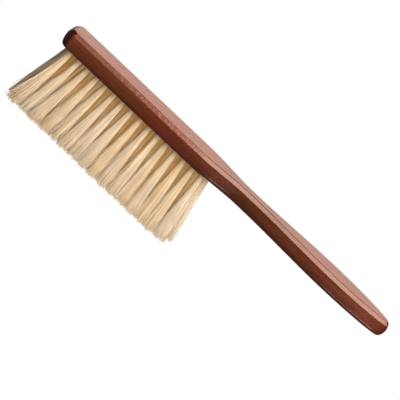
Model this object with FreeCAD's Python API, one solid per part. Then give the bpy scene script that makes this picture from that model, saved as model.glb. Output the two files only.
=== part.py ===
import FreeCAD, Part
import math
import os

# A neck duster brush: a flat wooden handle whose head carries three staggered rows of soft bristle tufts.
# Millimetres. +X runs from the head to the handle's tip, +Z comes out of the flat back face, and the
# brush stands on its bristle tips at Z = 0. Y = 0 is its plane of symmetry, and X = 0 is the middle of
# the whole length, bristles included.

# ---- Board: one piece of wood, the same thickness all along ----
BOARD_LENGTH = 300.0
BOARD_THICKNESS = 13.6
HEAD_HALF_WIDTH = 10.2
HEAD_END_REACH = 7.0          # length of the head's elliptical end
NECK_HALF_WIDTH = 5.8
GRIP_HALF_WIDTH = 9.3
HEAD_SIDE_END = 127.0         # distances from the head end, along the board
NECK_START = 166.0
NECK_END = 172.0
GRIP_CENTRE = 245.0           # the widest place of the grip, where its elliptical end begins
TIP_TANGENT_SHARE = 0.946     # where the ellipse gives way to the tip's small round, as a share of its length
HEAD_ROUND_RADIUS = 8.0       # the head end's rounding seen from the side
TIP_ROUND_RADIUS = 7.2        # the tip's rounding seen from the side
END_TRIM = 0.15               # how much of the plan outline those two roundings take off each end
BACK_CHAMFER = 2.5            # all round the back face
HEAD_EDGE_RADIUS = 1.8        # lower edge round the head
HANDLE_EDGE_RADIUS = 3.4      # lower edge of the neck and the handle
EDGE_RUNOUT_START = 132.0     # the lower edge's rounding grows over this stretch
EDGE_RUNOUT_END = 141.0
ARRIS_RADIUS = 0.7            # sanded corners on both sides of the chamfer

# ---- Bristles: one tuft in each drilled hole ----
BRISTLE_LENGTH = 57.0         # free length, from the board to the tips
ROW_SPACING = 5.7
OUTER_ROW_COUNT = 16
OUTER_ROW_FIRST = 12.5
OUTER_ROW_LAST = 135.0
MIDDLE_ROW_COUNT = 17
MIDDLE_ROW_FIRST = 9.2
MIDDLE_ROW_LAST = 138.2
HOLE_RADIUS = 1.9
HOLE_DEPTH = 8.5
TUFT_ROOT_RADIUS = 1.8
TUFT_TIP_RADIUS = 4.35
TUFT_TIP_BEVEL = 0.8
TUFT_SIDES = 16               # a tuft's cross-section is a polygon that is close to a circle
SHANK_END_GAP = 0.2           # between a tuft's folded end and the bottom of its hole
LENGTHWISE_FAN = 0.125        # how far a tip leans out, as a share of its hole's distance from mid-head
CROSSWISE_FAN = 0.54

# ---- Anchors: the flat strip that each tuft is folded over ----
ANCHOR_THICKNESS = 0.4
ANCHOR_WIDTH = 1.6
ANCHOR_LENGTH = 4.8           # longer than the hole is wide: its ends bite into the wood
ANCHOR_DEPTH = 7.1            # from the board's lower face to the anchor's upper edge
FOLD_CLEARANCE = 0.1

# ---- Worked out from those ----
ROW_CENTRE = (MIDDLE_ROW_FIRST + MIDDLE_ROW_LAST) / 2
HEAD_OVERHANG = TUFT_TIP_RADIUS - MIDDLE_ROW_FIRST + LENGTHWISE_FAN * (ROW_CENTRE - MIDDLE_ROW_FIRST)
HEAD_END_X = -(BOARD_LENGTH - HEAD_OVERHANG) / 2
LOWER_Z = BRISTLE_LENGTH      # the board's face that the bristles come out of
MIDDLE_Z = BRISTLE_LENGTH + BOARD_THICKNESS / 2
BACK_Z = BRISTLE_LENGTH + BOARD_THICKNESS

# ---- Working values ----
TOLERANCE = 0.01              # for telling at which height an edge lies
FITTING_STEPS = 20            # rounds that settle the length of the grip's ellipse
ENVELOPE_MARGIN = 1.0         # how far the block that rounds the ends stands out past the board's sides


def at(along, across, height=LOWER_Z):
    """A point given by its distance from the head end, its Y and its Z."""
    return FreeCAD.Vector(HEAD_END_X + along, across, height)


def easing(start, start_width, end, end_width, side):
    """An S-shaped stretch of the outline, along the board at both ends."""
    third = (end - start) / 3
    curve = Part.BezierCurve()
    curve.setPoles([
        at(start, side * start_width),
        at(start + third, side * start_width),
        at(end - third, side * end_width),
        at(end, side * end_width),
    ])
    return curve


def split(curve, start, end, cuts):
    """The curve as edges, cut at these distances from the head end."""
    edges = []
    places = [start] + cuts + [end]
    for here, there in zip(places, places[1:]):
        piece = curve.copy()
        piece.segment((here - start) / (end - start), (there - start) / (end - start))
        edges.append(piece.toShape())
    return edges


def tip_round(half_length):
    """The round that ends an ellipse of this half length: its start, half width there, and far end."""
    start = TIP_TANGENT_SHARE * half_length
    half_width = GRIP_HALF_WIDTH * math.sqrt(1 - TIP_TANGENT_SHARE ** 2)
    centre = start * (1 - (GRIP_HALF_WIDTH / half_length) ** 2)
    radius = math.hypot(start - centre, half_width)
    return start, half_width, centre + radius


def grip_half_length():
    """Half length of the grip's ellipse, so that the tip's round ends just past the board's full length."""
    wanted = BOARD_LENGTH + END_TRIM - GRIP_CENTRE
    half_length = wanted
    for _ in range(FITTING_STEPS):
        half_length += wanted - tip_round(half_length)[-1]
    return half_length


def head_end_edge():
    """Half an ellipse, wider than it is long, from one side of the head to the other."""
    centre = at(HEAD_END_REACH, 0)
    ellipse = Part.Ellipse(at(HEAD_END_REACH, HEAD_HALF_WIDTH), at(-END_TRIM, 0), centre)
    return ellipse.toShape(0, math.pi)


def tip_edge():
    """The tip's small round, tangent to both halves of the grip's ellipse."""
    start, half_width, end = tip_round(grip_half_length())
    return Part.Arc(at(GRIP_CENTRE + start, -half_width), at(GRIP_CENTRE + end, 0),
                    at(GRIP_CENTRE + start, half_width)).toShape()


def side_edges(side):
    """Half of the plan outline, from the head's elliptical end to the tip's round."""
    edges = [Part.LineSegment(at(HEAD_END_REACH, side * HEAD_HALF_WIDTH),
                              at(HEAD_SIDE_END, side * HEAD_HALF_WIDTH)).toShape()]
    shoulder = easing(HEAD_SIDE_END, HEAD_HALF_WIDTH, NECK_START, NECK_HALF_WIDTH, side)
    edges += split(shoulder, HEAD_SIDE_END, NECK_START, [EDGE_RUNOUT_START, EDGE_RUNOUT_END])
    edges.append(Part.LineSegment(at(NECK_START, side * NECK_HALF_WIDTH),
                                  at(NECK_END, side * NECK_HALF_WIDTH)).toShape())
    edges.append(easing(NECK_END, NECK_HALF_WIDTH, GRIP_CENTRE, GRIP_HALF_WIDTH, side).toShape())
    ellipse = Part.Ellipse(at(GRIP_CENTRE, 0), grip_half_length(), GRIP_HALF_WIDTH)
    angle = math.acos(TIP_TANGENT_SHARE)
    if side > 0:
        edges.append(ellipse.toShape(angle, math.pi / 2))
    else:
        edges.append(ellipse.toShape(-math.pi / 2, -angle))
    return edges


def board_outline():
    """The closed plan outline at the board's lower face."""
    edges = [head_end_edge()] + side_edges(-1) + [tip_edge()] + side_edges(1)
    return Part.Wire(Part.__sortEdges__(edges))


def distance_along(point):
    return point.x - HEAD_END_X


def lower_edge_radius(point):
    """The lower edge is nearly square on the head and well rounded on the neck and handle."""
    if distance_along(point) < (EDGE_RUNOUT_START + EDGE_RUNOUT_END) / 2:
        return HEAD_EDGE_RADIUS
    return HANDLE_EDGE_RADIUS


def round_lower_edge(shape):
    """Rounds the lower edge, with a radius that grows along the run-out at the end of the head."""
    document = FreeCAD.newDocument("board")
    base = document.addObject("Part::Feature", "base")
    base.Shape = shape
    rounding = document.addObject("Part::Fillet", "rounding")
    rounding.Base = base
    radii = []
    for number, edge in enumerate(shape.Edges, 1):
        if edge.BoundBox.ZMax < LOWER_Z + TOLERANCE:
            first = lower_edge_radius(edge.valueAt(edge.FirstParameter))
            last = lower_edge_radius(edge.valueAt(edge.LastParameter))
            radii.append((number, first, last))
    rounding.Edges = radii
    document.recompute()
    rounded = rounding.Shape.copy()
    FreeCAD.closeDocument(document.Name)
    return rounded.Solids[0]


def level_edges(shape, height):
    """The edges that lie wholly at one height."""
    return [e for e in shape.Edges
            if abs(e.BoundBox.ZMin - height) < TOLERANCE and abs(e.BoundBox.ZMax - height) < TOLERANCE]


def side_view_arc(end, radius, inward, across):
    """The arc that rounds one end, seen from the side. It touches the end at mid-thickness."""
    depth = radius - math.sqrt(radius ** 2 - (BOARD_THICKNESS / 2) ** 2)
    face = end + inward * depth
    arc = Part.Arc(at(face, across, LOWER_Z), at(end, across, MIDDLE_Z), at(face, across, BACK_Z))
    return arc.toShape()


def envelope():
    """A block that holds the whole board and is round at both ends, seen from the side."""
    across = HEAD_HALF_WIDTH + ENVELOPE_MARGIN
    head = side_view_arc(0, HEAD_ROUND_RADIUS, 1, -across)
    tip = side_view_arc(BOARD_LENGTH, TIP_ROUND_RADIUS, -1, -across)
    lower = Part.LineSegment(head.firstVertex().Point, tip.firstVertex().Point).toShape()
    upper = Part.LineSegment(head.lastVertex().Point, tip.lastVertex().Point).toShape()
    outline = Part.Wire(Part.__sortEdges__([head, upper, tip, lower]))
    return Part.Face(outline).extrude(FreeCAD.Vector(0, 2 * across, 0))


def plain_board():
    """The board before drilling: cut to its plan outline, chamfered, rounded and sanded."""
    prism = Part.Face(board_outline()).extrude(FreeCAD.Vector(0, 0, BOARD_THICKNESS))
    shape = prism.makeChamfer(BACK_CHAMFER, level_edges(prism, BACK_Z)).Solids[0]
    shape = round_lower_edge(shape)
    arrises = level_edges(shape, BACK_Z) + level_edges(shape, BACK_Z - BACK_CHAMFER)
    shape = shape.makeFillet(ARRIS_RADIUS, arrises).Solids[0]
    return shape.common(envelope()).Solids[0]


def row_places(count, first, last):
    """Distances of a row's holes from the head end, evenly spaced."""
    pitch = (last - first) / (count - 1)
    return [first + pitch * number for number in range(count)]


def rows():
    """Each row's name, its Y, and its holes' distances from the head end."""
    outer = row_places(OUTER_ROW_COUNT, OUTER_ROW_FIRST, OUTER_ROW_LAST)
    middle = row_places(MIDDLE_ROW_COUNT, MIDDLE_ROW_FIRST, MIDDLE_ROW_LAST)
    return [("front", -ROW_SPACING, outer), ("middle", 0.0, middle), ("back", ROW_SPACING, outer)]


def hole(along, across):
    return Part.makeCylinder(HOLE_RADIUS, HOLE_DEPTH, at(along, across))


def anchor(along, across, clearance=0.0):
    """The flat strip across a hole, which the bristles are folded over."""
    thickness = ANCHOR_THICKNESS + 2 * clearance
    width = ANCHOR_WIDTH + 2 * clearance
    length = ANCHOR_LENGTH + 2 * clearance
    corner = at(along - thickness / 2, across - length / 2, LOWER_Z + ANCHOR_DEPTH - ANCHOR_WIDTH - clearance)
    return Part.makeBox(thickness, length, width, corner)


def tuft_ring(centre, radius):
    """One cross-section of a tuft: a level polygon close to a circle."""
    corners = []
    for number in range(TUFT_SIDES + 1):
        angle = 2 * math.pi * number / TUFT_SIDES
        corners.append(centre + FreeCAD.Vector(radius * math.cos(angle), radius * math.sin(angle), 0))
    return Part.makePolygon(corners)


def tuft(along, across):
    """A folded bundle of bristles: a straight shank in its hole, then a leaning, flaring brush."""
    tip_along = along + LENGTHWISE_FAN * (along - ROW_CENTRE)
    tip_across = across * (1 + CROSSWISE_FAN)
    rings = [
        tuft_ring(at(along, across, LOWER_Z + HOLE_DEPTH - SHANK_END_GAP), TUFT_ROOT_RADIUS),
        tuft_ring(at(along, across), TUFT_ROOT_RADIUS),
        tuft_ring(at(tip_along, tip_across, TUFT_TIP_BEVEL), TUFT_TIP_RADIUS),
        tuft_ring(at(tip_along, tip_across, 0), TUFT_TIP_RADIUS - TUFT_TIP_BEVEL),
    ]
    bundle = Part.makeLoft(rings, True, True)
    return bundle.cut(anchor(along, across, FOLD_CLEARANCE)).Solids[0]


def wooden_handle():
    """The board with a blind hole for each tuft, and the nicks that the anchors' ends make."""
    cutters = []
    for _, across, places in rows():
        for along in places:
            cutters.append(hole(along, across))
            cutters.append(anchor(along, across))
    return plain_board().cut(cutters).Solids[0]


def nodes():
    """Every separate piece, by name."""
    pieces = {"wooden_handle": wooden_handle()}
    for name, across, places in rows():
        pieces[name + "_row_anchors"] = Part.makeCompound([anchor(along, across) for along in places])
        for number, along in enumerate(places, 1):
            pieces["%s_tuft_%02d" % (name, number)] = tuft(along, across)
    return pieces


def main():
    os.makedirs("parts", exist_ok=True)
    for name, shape in nodes().items():
        shape.exportStep("parts/" + name + ".step")


main()
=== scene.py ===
import math

import bpy
import numpy as np
from mathutils import Matrix, Vector


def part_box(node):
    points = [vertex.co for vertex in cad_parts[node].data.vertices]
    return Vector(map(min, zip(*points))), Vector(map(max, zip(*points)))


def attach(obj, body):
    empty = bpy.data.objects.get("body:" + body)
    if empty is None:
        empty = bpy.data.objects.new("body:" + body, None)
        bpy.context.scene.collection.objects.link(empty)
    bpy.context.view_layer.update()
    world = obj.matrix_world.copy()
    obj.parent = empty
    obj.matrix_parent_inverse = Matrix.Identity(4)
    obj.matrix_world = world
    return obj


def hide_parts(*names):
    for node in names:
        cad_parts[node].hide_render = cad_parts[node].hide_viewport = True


# The looks of a neck duster brush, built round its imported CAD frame. Everything is in metres, in the row
# frame: +X from the head to the handle's tip, +Z out of the flat back, bristle tips at Z = 0. The front
# row of tufts is the one towards -Y, where the camera is.

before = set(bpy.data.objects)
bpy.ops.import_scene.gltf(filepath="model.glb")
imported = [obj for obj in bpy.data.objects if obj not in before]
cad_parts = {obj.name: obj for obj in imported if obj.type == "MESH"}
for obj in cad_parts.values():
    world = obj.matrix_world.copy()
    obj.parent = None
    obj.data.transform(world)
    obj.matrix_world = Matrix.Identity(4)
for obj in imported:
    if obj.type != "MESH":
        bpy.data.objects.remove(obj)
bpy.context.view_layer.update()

MM = 0.001
BOARD_LOW, BOARD_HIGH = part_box("wooden_handle")
HEAD_END_X = BOARD_LOW.x
BOARD_UNDERSIDE_Z = BOARD_LOW.z
BACK_Z = BOARD_HIGH.z
WHITE, BLACK = (1.0, 1.0, 1.0), (0.0, 0.0, 0.0)

# ---- Bristles ----
STRANDS_PER_TUFT = 290
FLYAWAYS_PER_TUFT = 7         # of those, the strands that stray outside the tuft
STRAND_SIDES = 5              # three leave dark specks on the strands that face the key light
STRAND_STATIONS = np.array([0.0, 0.28, 0.52, 0.77, 1.0])     # where a strand's rings are, root to tip
STRAND_RADIUS = 0.18 * MM
STRAND_THICKNESS = (0.75, 1.2)    # the range of single strands' radii, as shares of that
STRAND_TIP_SHARE = 0.75       # a strand's radius at its tip, as a share of its radius at the root
ROOT_FILL = {"front": 0.84, "middle": 1.04, "back": 1.04}    # how much of the CAD root's radius they fill
TIP_FILL = np.array([1.42, 1.25])    # their spread at the tips against the CAD tuft's, along and across
TIP_DRIFT = -0.9 * MM         # how far every tip leans along X from its CAD tuft's
END_SPLAY = 2.2 * MM          # how much more the tufts at the head's end lean outwards
END_SPLAY_REACH = 14 * MM     # how quickly that dies away along the row
CLUMPS_PER_TUFT = 20          # wisps that the tips gather into
CLUMP_PULL = 0.22             # how strongly strands gather into their wisp at the tip
CLUMP_PULL_RANGE = (0.4, 1.3)     # the range of single strands' pull, as shares of that
FLARE_POWER = {"front": 1.7, "middle": 1.1, "back": 1.0}     # above 1, a tuft stays slim near the board
SINK_IN_HOLE = 3.0 * MM       # how far a strand reaches up into its hole
TIP_RAGGED = 0.55 * MM        # typical shortfall of one strand
WISP_RAGGED = 0.8 * MM        # largest shortfall of a whole wisp
FLYAWAY_REACH = (1.15, 1.5)   # how far out a stray strand's tip is, in radii of its tuft
FLYAWAY_SHORTFALL = 9 * MM    # largest shortfall of a stray strand
STRAND_BOW = 0.35 * MM        # typical bulge of a strand halfway along
TUFT_SWAY = 0.45 * MM         # how far a whole tuft's tips stray from their place
WISP_TONE = (0.58, 0.88)      # the range of wisps' tones, where 0 is gold and 1 is cream
TONE_SPREAD = 0.19            # typical difference of one strand from its wisp
ROW_PAINTED_SHADE = {"front": 0.0, "middle": -0.62, "back": 0.0}     # painted shade: the middle row, between the other two, is painted darker and more golden
SHADE_FADE_AT_TIPS = 0.25          # how much of that painted shade is gone at the tips
LAST_TUFT_PAINTED_LIGHT = 0.3          # painted light: the tufts next to the handle, on the key light's side, are painted paler
LAST_IN_ROW = {"front": 16, "middle": 17, "back": 16}        # the tufts at a row's ends get no painted shade
HEAD_END_SHADE_UP_TO = HEAD_END_X + 9.9 * MM     # painted shade: strands rooted nearer the head's end than this are painted greyer and darker
HEAD_END_SHADE_FADE = 1.3 * MM        # over this distance, the painted shade fades from full to none
TRANSLUCENCY = 0.35           # how much of the light goes through a strand
SEED = 4207


# ------------------------------------------------------------------ node helpers
def new_material(name):
    material = bpy.data.materials.new(name)
    material.use_nodes = True
    nodes = material.node_tree.nodes
    return material, nodes, material.node_tree.links, nodes["Principled BSDF"]


def add(nodes, kind, **settings):
    node = nodes.new(kind)
    for key, value in settings.items():
        setattr(node, key, value)
    return node


def grey(value):
    return (value, value, value)


def ramp(nodes, links, factor, stops):
    """A colour ramp over the factor socket. Each stop is a position and a linear colour."""
    node = add(nodes, "ShaderNodeValToRGB")
    elements = node.color_ramp.elements
    while len(elements) < len(stops):
        elements.new(0.5)
    for element, (position, colour) in zip(elements, stops):
        element.position = position
        element.color = (*colour, 1.0)
    links.new(factor, node.inputs["Fac"])
    return node.outputs["Color"]


def feed(links, socket, value):
    """Gives a socket another node's output, a number or a linear colour."""
    if isinstance(value, bpy.types.NodeSocket):
        links.new(value, socket)
    else:
        socket.default_value = value if isinstance(value, float) else (*value, 1.0)


def mix(nodes, links, factor, first, second, blend="MIX"):
    node = add(nodes, "ShaderNodeMix", data_type="RGBA", blend_type=blend)
    first_colour, second_colour = node.inputs[6], node.inputs[7]
    feed(links, node.inputs["Factor"], factor)
    feed(links, first_colour, first)
    feed(links, second_colour, second)
    result_colour = node.outputs[2]
    return result_colour


def multiply(nodes, links, colour, by, factor=1.0):
    return mix(nodes, links, factor, colour, by, "MULTIPLY")


def math_node(nodes, links, operation, first, second=0.0):
    node = add(nodes, "ShaderNodeMath", operation=operation)
    for socket, value in zip(node.inputs, (first, second)):
        feed(links, socket, value)
    return node.outputs[0]


def share_of_way(nodes, links, place, start, end):
    """0 where place is at start and 1 where it is at end."""
    past_start = math_node(nodes, links, "SUBTRACT", place, start)
    return math_node(nodes, links, "DIVIDE", past_start, end - start)


def weighted_sum(nodes, links, first, first_weight, second, second_weight):
    first_part = math_node(nodes, links, "MULTIPLY", first, first_weight)
    second_part = math_node(nodes, links, "MULTIPLY", second, second_weight)
    return math_node(nodes, links, "ADD", first_part, second_part)


def noise(nodes, links, vector, scale, detail=3.0, roughness=0.5, stretch=(1, 1, 1)):
    mapping = add(nodes, "ShaderNodeMapping")
    mapping.inputs["Scale"].default_value = stretch
    links.new(vector, mapping.inputs["Vector"])
    node = add(nodes, "ShaderNodeTexNoise")
    node.inputs["Scale"].default_value = scale
    node.inputs["Detail"].default_value = detail
    node.inputs["Roughness"].default_value = roughness
    links.new(mapping.outputs["Vector"], node.inputs["Vector"])
    return node.outputs["Fac"]


def bump(nodes, links, shader, height, strength, distance):
    node = add(nodes, "ShaderNodeBump")
    node.inputs["Strength"].default_value = strength
    node.inputs["Distance"].default_value = distance
    links.new(height, node.inputs["Height"])
    links.new(node.outputs["Normal"], shader.inputs["Normal"])


# ------------------------------------------------------------------ materials
def lacquered_wood():
    """Red-brown stained wood under lacquer: long grain, dark end grain and a rippled surface."""
    material, nodes, links, shader = new_material("lacquered_wood")
    coordinates = add(nodes, "ShaderNodeTexCoord")
    place = coordinates.outputs["Object"]
    grain = noise(nodes, links, place, 260.0, 4.0, 0.6, (0.06, 1.0, 1.0))
    figure = noise(nodes, links, place, 45.0, 2.0, 0.5, (0.12, 1.0, 1.0))
    pores = noise(nodes, links, place, 900.0, 2.0, 0.7, (0.05, 1.0, 1.0))
    blotch = noise(nodes, links, place, 55.0, 2.0, 0.5, (0.5, 1.0, 1.0))
    stain = ramp(nodes, links, weighted_sum(nodes, links, grain, 0.45, figure, 0.55), [
        (0.30, (0.042, 0.0105, 0.0034)),
        (0.50, (0.072, 0.0182, 0.0055)),
        (0.70, (0.108, 0.0295, 0.0092)),
    ])
    redder = ramp(nodes, links, blotch, [(0.45, WHITE), (0.68, (1.35, 0.80, 0.95))])
    colour = multiply(nodes, links, stain, redder, 0.8)
    pore_mark = ramp(nodes, links, pores, [(0.30, (0.45, 0.40, 0.38)), (0.46, WHITE)])
    colour = multiply(nodes, links, colour, pore_mark, 0.7)
    position = add(nodes, "ShaderNodeSeparateXYZ")
    links.new(place, position.inputs["Vector"])
    along = share_of_way(nodes, links, position.outputs["X"], HEAD_END_X, BOARD_HIGH.x)
    up_side = share_of_way(nodes, links, position.outputs["Z"], BOARD_UNDERSIDE_Z, BACK_Z)
    # Painted shade: darker towards the lower edge.
    gathered = ramp(nodes, links, up_side, [
        (0.00, (0.30, 0.28, 0.26)), (0.24, (0.58, 0.55, 0.54)), (0.62, WHITE)])
    colour = multiply(nodes, links, colour, gathered)
    # Darker along the neck and the grip.
    neck_and_grip_darker = ramp(nodes, links, along, [
        (0.43, WHITE), (0.48, (0.70, 0.73, 0.80)), (0.85, (0.86, 0.86, 0.90)), (0.97, (1.0, 1.0, 1.1))])
    colour = multiply(nodes, links, colour, neck_and_grip_darker)
    facing = add(nodes, "ShaderNodeSeparateXYZ")
    links.new(coordinates.outputs["Normal"], facing.inputs["Vector"])
    # 0 where the surface faces the head's end, 0.5 on the sides and 1 where it faces the handle's tip.
    half_facing = math_node(nodes, links, "MULTIPLY", facing.outputs["X"], 0.5)
    facing_end = math_node(nodes, links, "ADD", half_facing, 0.5)
    end_grain = ramp(nodes, links, facing_end, [
        (0.34, (0.30, 0.25, 0.38)), (0.43, WHITE), (0.66, WHITE), (0.76, (0.36, 0.32, 0.50))])
    colour = multiply(nodes, links, colour, end_grain)
    # Painted highlight: the head's chamfers, which are tilted halfway, are painted a lighter red in
    # patches, as a mottled sheen.
    level_part = math_node(nodes, links, "ABSOLUTE", facing.outputs["Y"])
    twice_level = math_node(nodes, links, "MULTIPLY", level_part, 2.0)
    tilted = math_node(nodes, links, "MULTIPLY", twice_level, facing.outputs["Z"])
    on_head = ramp(nodes, links, along, [(0.30, WHITE), (0.50, BLACK)])
    on_chamfer = ramp(nodes, links, tilted, [(0.70, BLACK), (0.95, WHITE)])
    patches = noise(nodes, links, place, 380.0, 2.0, 0.6, (0.7, 1.0, 1.0))
    sheen_patches = ramp(nodes, links, patches, [(0.38, BLACK), (0.60, WHITE)])
    chamfer_sheen = math_node(nodes, links, "MULTIPLY", on_head, on_chamfer)
    chamfer_sheen = math_node(nodes, links, "MULTIPLY", chamfer_sheen, sheen_patches)
    colour = mix(nodes, links, chamfer_sheen, colour, multiply(nodes, links, colour, (1.5, 1.38, 1.5)))
    links.new(colour, shader.inputs["Base Color"])
    rough = ramp(nodes, links, blotch, [(0.3, grey(0.15)), (0.7, grey(0.24))])
    links.new(rough, shader.inputs["Roughness"])
    shader.inputs["Specular IOR Level"].default_value = 0.62
    shader.inputs["Specular Tint"].default_value = (1.0, 0.68, 0.57, 1.0)
    shader.inputs["Coat Weight"].default_value = 0.1
    shader.inputs["Coat Roughness"].default_value = 0.12
    # The head's surface ripples more than the handle's, which many hands have smoothed.
    rippled = ramp(nodes, links, along, [(0.36, WHITE), (0.44, grey(0.04))])
    ripple = noise(nodes, links, place, 420.0, 2.0, 0.5, (0.8, 1.0, 1.0))
    bump(nodes, links, shader, math_node(nodes, links, "MULTIPLY", ripple, rippled), 0.9, 0.3 * MM)
    return material


def bristle():
    """Natural bristle: each strand has its own tone; the colour is painted darker near the board as painted
    shade and lighter towards the tip as painted light.
    """
    material, nodes, links, shader = new_material("bristle")
    tone = add(nodes, "ShaderNodeAttribute", attribute_name="strand_tone").outputs["Fac"]
    along = add(nodes, "ShaderNodeAttribute", attribute_name="strand_along").outputs["Fac"]
    place = add(nodes, "ShaderNodeTexCoord").outputs["Object"]
    mottle = noise(nodes, links, place, 500.0, 2.0, 0.5, (1.0, 1.0, 0.15))
    body = ramp(nodes, links, weighted_sum(nodes, links, tone, 0.75, mottle, 0.35), [
        (0.05, (0.70, 0.39, 0.10)),
        (0.24, (0.90, 0.57, 0.18)),
        (0.45, (0.87, 0.70, 0.42)),
        (0.70, (0.86, 0.77, 0.61)),
        (1.00, (0.90, 0.84, 0.73)),
    ])
    # Painted shade near the board and painted light towards the tips.
    root_shade_tip_light = ramp(nodes, links, along, [
        (0.0, (0.41, 0.30, 0.21)),
        (0.12, (0.74, 0.65, 0.54)),
        (0.35, (0.91, 0.86, 0.78)),
        (0.65, (0.88, 0.82, 0.74)),
        (1.0, (1.03, 0.98, 0.90)),
    ])
    colour = multiply(nodes, links, body, root_shade_tip_light)
    # Painted shade: strands at the head's end are painted greyer, darkest near the board.
    head_end_shade = add(nodes, "ShaderNodeAttribute", attribute_name="strand_head_end_shade").outputs["Fac"]
    end_shade_colour = ramp(nodes, links, along, [
        (0.0, (0.30, 0.23, 0.20)), (0.4, (0.50, 0.44, 0.41)), (1.0, (0.62, 0.55, 0.51))])
    colour = mix(nodes, links, head_end_shade, colour, multiply(nodes, links, colour, end_shade_colour))
    links.new(colour, shader.inputs["Base Color"])
    rough = ramp(nodes, links, mottle, [(0.3, grey(0.42)), (0.7, grey(0.58))])
    links.new(rough, shader.inputs["Roughness"])
    shader.inputs["Specular IOR Level"].default_value = 0.35
    shader.inputs["Sheen Weight"].default_value = 0.15
    shader.inputs["Sheen Roughness"].default_value = 0.4
    bump(nodes, links, shader, mottle, 0.1, 0.02 * MM)
    # Bristle lets some light through, so the gaps between the tufts glow.
    through = add(nodes, "ShaderNodeBsdfTranslucent")
    links.new(colour, through.inputs["Color"])
    blend = add(nodes, "ShaderNodeMixShader")
    blend.inputs["Fac"].default_value = TRANSLUCENCY
    first_shader, second_shader = blend.inputs[1], blend.inputs[2]
    links.new(shader.outputs["BSDF"], first_shader)
    links.new(through.outputs["BSDF"], second_shader)
    links.new(blend.outputs["Shader"], nodes["Material Output"].inputs["Surface"])
    return material


def anchor_metal():
    """Drawn brass strip, dulled, with fine lengthwise scratches."""
    material, nodes, links, shader = new_material("anchor_metal")
    place = add(nodes, "ShaderNodeTexCoord").outputs["Object"]
    scratch = noise(nodes, links, place, 2500.0, 2.0, 0.6, (1.0, 0.05, 1.0))
    colour = ramp(nodes, links, scratch, [(0.3, (0.50, 0.34, 0.13)), (0.7, (0.72, 0.53, 0.24))])
    links.new(colour, shader.inputs["Base Color"])
    rough = ramp(nodes, links, scratch, [(0.3, grey(0.30)), (0.7, grey(0.48))])
    links.new(rough, shader.inputs["Roughness"])
    shader.inputs["Metallic"].default_value = 1.0
    bump(nodes, links, shader, scratch, 0.2, 0.02 * MM)
    return material


# ------------------------------------------------------------------ bristles
def tuft_frame(node):
    """Where a tuft leaves the board, where its tips are, and its radius at both."""
    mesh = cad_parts[node].data
    points = np.empty(len(mesh.vertices) * 3, np.float32)
    mesh.vertices.foreach_get("co", points)
    points = points.reshape(-1, 3).astype(float)
    ends = []
    for ring in (points[points[:, 2] > BOARD_UNDERSIDE_Z + MM], points[points[:, 2] < 2 * MM]):
        lowest, highest = ring.min(0), ring.max(0)
        ends.append(((lowest + highest)[:2] / 2, (highest[0] - lowest[0]) / 2))
    return ends


def on_disc(rng, count):
    """Random points spread evenly over a disc of radius 1."""
    share = np.sqrt(rng.random(count))
    angle = rng.uniform(0, 2 * math.pi, count)
    return np.stack([share * np.cos(angle), share * np.sin(angle)], axis=1)


def strand_lines(node, row, rng):
    """A tuft's strands, from inside the hole to the tips: the points of their middle lines, how toned each
    strand is, how much painted shade at the head's end it gets, and how far down its free length each point
    is."""
    (root, root_radius), (tip, tip_radius) = tuft_frame(node)
    place = on_disc(rng, STRANDS_PER_TUFT)
    wisp_place = on_disc(rng, CLUMPS_PER_TUFT)
    wisp = np.argmin(((place[:, None] - wisp_place[None]) ** 2).sum(2), axis=1)
    pull = CLUMP_PULL * rng.uniform(*CLUMP_PULL_RANGE, STRANDS_PER_TUFT)
    gathered = place + (wisp_place[wisp] - place) * pull[:, None]
    short = np.abs(rng.normal(0, TIP_RAGGED, STRANDS_PER_TUFT))
    short += rng.uniform(0, WISP_RAGGED, CLUMPS_PER_TUFT)[wisp]
    tone = rng.uniform(*WISP_TONE, CLUMPS_PER_TUFT)[wisp] + rng.normal(0, TONE_SPREAD, STRANDS_PER_TUFT)
    stray = slice(0, FLYAWAYS_PER_TUFT)
    gathered[stray] *= rng.uniform(*FLYAWAY_REACH, (FLYAWAYS_PER_TUFT, 1)) / np.linalg.norm(
        gathered[stray], axis=1, keepdims=True)
    short[stray] = rng.uniform(0, FLYAWAY_SHORTFALL, FLYAWAYS_PER_TUFT)
    root_offset = place * root_radius * ROOT_FILL[row]
    tip_offset = gathered * tip_radius * TIP_FILL
    sway = rng.normal(0, TUFT_SWAY, 2)
    bow = rng.normal(0, STRAND_BOW, (STRANDS_PER_TUFT, 2))
    length = BOARD_UNDERSIDE_Z - short
    down = -SINK_IN_HOLE + (length + SINK_IN_HOLE)[:, None] * STRAND_STATIONS
    free = np.clip(down / BOARD_UNDERSIDE_Z, 0, 1)[..., None]
    splay = END_SPLAY * math.exp(-(root[0] - HEAD_END_X) / END_SPLAY_REACH)
    level = (root + root_offset)[:, None] + (tip - root + sway + (TIP_DRIFT - splay, 0)) * free
    level = level + (tip_offset - root_offset)[:, None] * free ** FLARE_POWER[row]
    level = level + bow[:, None] * 4 * free * (1 - free)
    lines = np.concatenate([level, (BOARD_UNDERSIDE_Z - down)[..., None]], axis=2)
    # Painted shade for the strands at the head's end, which face away from the key light.
    head_end_shade = np.clip((HEAD_END_SHADE_UP_TO - root[0] - root_offset[:, 0]) / HEAD_END_SHADE_FADE, 0, 1)
    return lines, tone, head_end_shade, free[..., 0]


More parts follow.
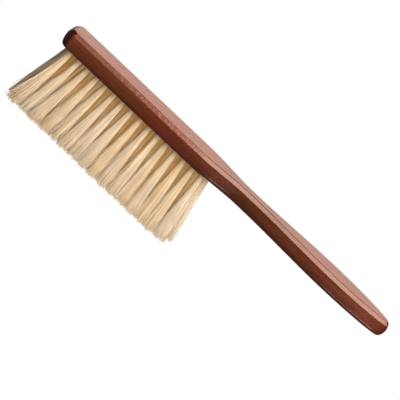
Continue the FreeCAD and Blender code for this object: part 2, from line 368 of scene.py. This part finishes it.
def bristle_tuft(node, name, row, rng):
    """A mesh of tapered strands that stands for one CAD tuft."""
    lines, tone, head_end_shade, free = strand_lines(node, row, rng)
    count, rings = free.shape
    thickness = rng.uniform(*STRAND_THICKNESS, count)[:, None]
    radius = STRAND_RADIUS * thickness * (1 - (1 - STRAND_TIP_SHARE) * free ** 2)
    corners = np.arange(STRAND_SIDES) * 2 * math.pi / STRAND_SIDES
    turn = rng.uniform(0, 2 * math.pi, count)[:, None] + corners
    around = np.stack([np.cos(turn), np.sin(turn), np.zeros_like(turn)], axis=2)
    vertices = lines[:, :, None] + radius[..., None, None] * around[:, None]
    index = np.arange(count * rings * STRAND_SIDES).reshape(count, rings, STRAND_SIDES)
    following = np.roll(index, -1, axis=2)
    walls = np.stack([index[:, 1:], following[:, 1:], following[:, :-1], index[:, :-1]], axis=3)
    faces = walls.reshape(-1, 4).tolist() + index[:, 0].tolist() + index[:, -1, ::-1].tolist()
    mesh = bpy.data.meshes.new(name)
    mesh.from_pydata(vertices.reshape(-1, 3).tolist(), [], faces)
    number = int(node[-2:])
    # Painted shade: the middle row's inner tufts are painted darker and more golden, less so towards the
    # tips.
    in_painted_shade = number not in (1, LAST_IN_ROW[row])
    # Painted light: the last tufts next to the handle are painted paler.
    tone = tone + LAST_TUFT_PAINTED_LIGHT * (number == LAST_IN_ROW[row])
    tone = np.clip(tone[:, None] + in_painted_shade * ROW_PAINTED_SHADE[row] * (1 - SHADE_FADE_AT_TIPS * free), 0, 1)
    head_end_shade = np.broadcast_to(head_end_shade[:, None], free.shape)
    for label, values in (("strand_tone", tone), ("strand_head_end_shade", head_end_shade), ("strand_along", free)):
        attribute = mesh.attributes.new(label, "FLOAT", "POINT")
        attribute.data.foreach_set("value", np.repeat(values, STRAND_SIDES).astype(np.float32))
    mesh.shade_smooth()
    piece = bpy.data.objects.new(name, mesh)
    bpy.context.scene.collection.objects.link(piece)
    return piece


# ------------------------------------------------------------------ studio
def area_light(name, position, target, size, power, colour):
    light = bpy.data.lights.new(name, "AREA")
    light.shape = "RECTANGLE"
    light.size, light.size_y = size
    light.energy = power
    light.color = colour
    item = bpy.data.objects.new(name, light)
    item.location = position
    item.rotation_mode = "QUATERNION"
    item.rotation_quaternion = (Vector(target) - Vector(position)).to_track_quat("-Z", "Y")
    bpy.context.scene.collection.objects.link(item)
    return item


def studio_floor():
    """A white floor whose rim curves up into a wall all round. Only the camera sees it."""
    profile = [(2.2, 0.0), (2.6, 0.05), (2.9, 0.2), (3.1, 0.5), (3.2, 1.0), (3.2, 3.0)]
    steps = 72
    gap_under_tips = 0.2 * MM
    vertices, faces = [], []
    for radius, height in profile:
        for step in range(steps):
            angle = 2 * math.pi * step / steps
            vertices.append((radius * math.cos(angle), radius * math.sin(angle), height - gap_under_tips))
    for ring in range(len(profile) - 1):
        for step in range(steps):
            this, following = ring * steps + step, ring * steps + (step + 1) % steps
            faces.append((this, following, following + steps, this + steps))
    faces.append(tuple(range(steps)))
    mesh = bpy.data.meshes.new("studio_floor")
    mesh.from_pydata(vertices, [], faces)
    mesh.shade_smooth()
    floor = bpy.data.objects.new("studio_floor", mesh)
    bpy.context.scene.collection.objects.link(floor)
    material, _, _, shader = new_material("studio_floor")
    shader.inputs["Base Color"].default_value = (*BLACK, 1)
    shader.inputs["Roughness"].default_value = 0.9
    shader.inputs["Specular IOR Level"].default_value = 0.0
    shader.inputs["Emission Color"].default_value = (*WHITE, 1)
    shader.inputs["Emission Strength"].default_value = 1.0
    mesh.materials.append(material)
    floor.visible_diffuse = False
    floor.visible_glossy = False
    floor.visible_shadow = False
    floor.visible_transmission = False


def studio_lights():
    centre = Vector((0, 0, 0.05))
    # A wide soft light low behind the brush, which the flat back mirrors.
    area_light("back_softbox", (0, 1.5, 0.75), centre, (2.6, 0.9), 20, (1.0, 0.69, 0.58))
    # A soft light over the front of the handle, which the long chamfer mirrors.
    area_light("top_softbox", (0.46, -0.465, 1.05), (0.46, 0, 0.05), (1.0, 0.5), 14, (1.0, 0.90, 0.84))
    # A dimmer one beside it, which the head's chamfer mirrors.
    area_light("head_softbox", (-0.29, -0.465, 1.05), (-0.29, 0, 0.05), (0.5, 0.5), 1.7, (1.0, 0.78, 0.68))
    # The key light from the handle's side, and a fill beside the camera.
    key = area_light("key_softbox", (1.3, -0.85, 0.42), centre, (1.4, 1.1), 16.5, (1.0, 0.96, 0.92))
    fill = area_light("front_fill", (0.10, -1.62, 0.58), centre, (0.5, 0.4), 23.5, (1.0, 0.95, 0.90))
    # A dim glow from below, which the rounded lower edge mirrors at the scoop and near the tip.
    area_light("low_glow", (0.40, -0.66, -0.47), (0.05, 0, 0.06), (0.42, 0.15), 1.6, (1.0, 0.90, 0.88))
    # A small light behind the head's end, which the end's chamfer mirrors.
    area_light("end_softbox", (-0.80, 1.35, 0.10), centre, (0.6, 0.5), 0.8, (1.0, 0.86, 0.84))
    # What a white table would throw back up, which only matt surfaces pick up.
    bounce = area_light("table_bounce", (0.1, -0.5, -0.45), centre, (0.9, 0.5), 3.2, (1.0, 0.97, 0.93))
    # Fills for the side and the end that face away from the key light.
    rear = area_light("rear_fill", (-0.5, 1.6, 0.30), centre, (1.2, 0.7), 20, (1.0, 0.96, 0.92))
    side = area_light("side_fill", (-1.5, -0.1, 0.25), centre, (0.9, 0.7), 5, (1.0, 0.97, 0.94))
    for light in (key, fill, bounce, rear, side):
        light.visible_glossy = False    # the lacquer would glare
    world = bpy.data.worlds.new("studio")
    world.use_nodes = True
    background = world.node_tree.nodes["Background"]
    background.inputs["Color"].default_value = (0.95, 0.97, 1.0, 1)
    background.inputs["Strength"].default_value = 0.10
    bpy.context.scene.world = world


def camera():
    """Looks along +Y from above the back, rolled so that the brush runs down to the right."""
    elevation = math.radians(25.0)
    roll = math.radians(43.45)
    seen_width = 277.0 * MM
    lens, sensor = 200.0, 36.0
    target = Vector((HEAD_END_X + 145.5 * MM, 0, BACK_Z - 31.2 * MM))
    back = Vector((0, -math.cos(elevation), math.sin(elevation)))
    level_right = Vector((1, 0, 0))
    level_up = Vector((0, math.sin(elevation), math.cos(elevation)))
    right = math.cos(roll) * level_right + math.sin(roll) * level_up
    up = math.cos(roll) * level_up - math.sin(roll) * level_right
    data = bpy.data.cameras.new("camera")
    data.lens = lens
    data.sensor_width = sensor
    data.clip_start, data.clip_end = 0.01, 20
    item = bpy.data.objects.new("camera", data)
    item.matrix_world = Matrix.Translation(target + back * seen_width * lens / sensor) @ Matrix(
        (right, up, back)).transposed().to_4x4()
    bpy.context.scene.collection.objects.link(item)
    bpy.context.scene.camera = item


# ------------------------------------------------------------------ the brush
def dress(material, *nodes):
    """Gives CAD nodes, which keep their meshes, a new material."""
    for node in nodes:
        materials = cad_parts[node].data.materials
        materials.clear()
        materials.append(material)


def make_bristles(material):
    tufts = sorted(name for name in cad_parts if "_tuft_" in name)
    for number, node in enumerate(tufts):
        rng = np.random.default_rng(SEED + number)
        piece = bristle_tuft(node, node.replace("tuft", "bristles"), node.split("_")[0], rng)
        piece.data.materials.append(material)
        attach(piece, "root")
        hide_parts(node)


dress(lacquered_wood(), "wooden_handle")
dress(anchor_metal(), "front_row_anchors", "middle_row_anchors", "back_row_anchors")
make_bristles(bristle())
studio_floor()
studio_lights()
camera()
bpy.context.scene.view_settings.view_transform = "Standard"
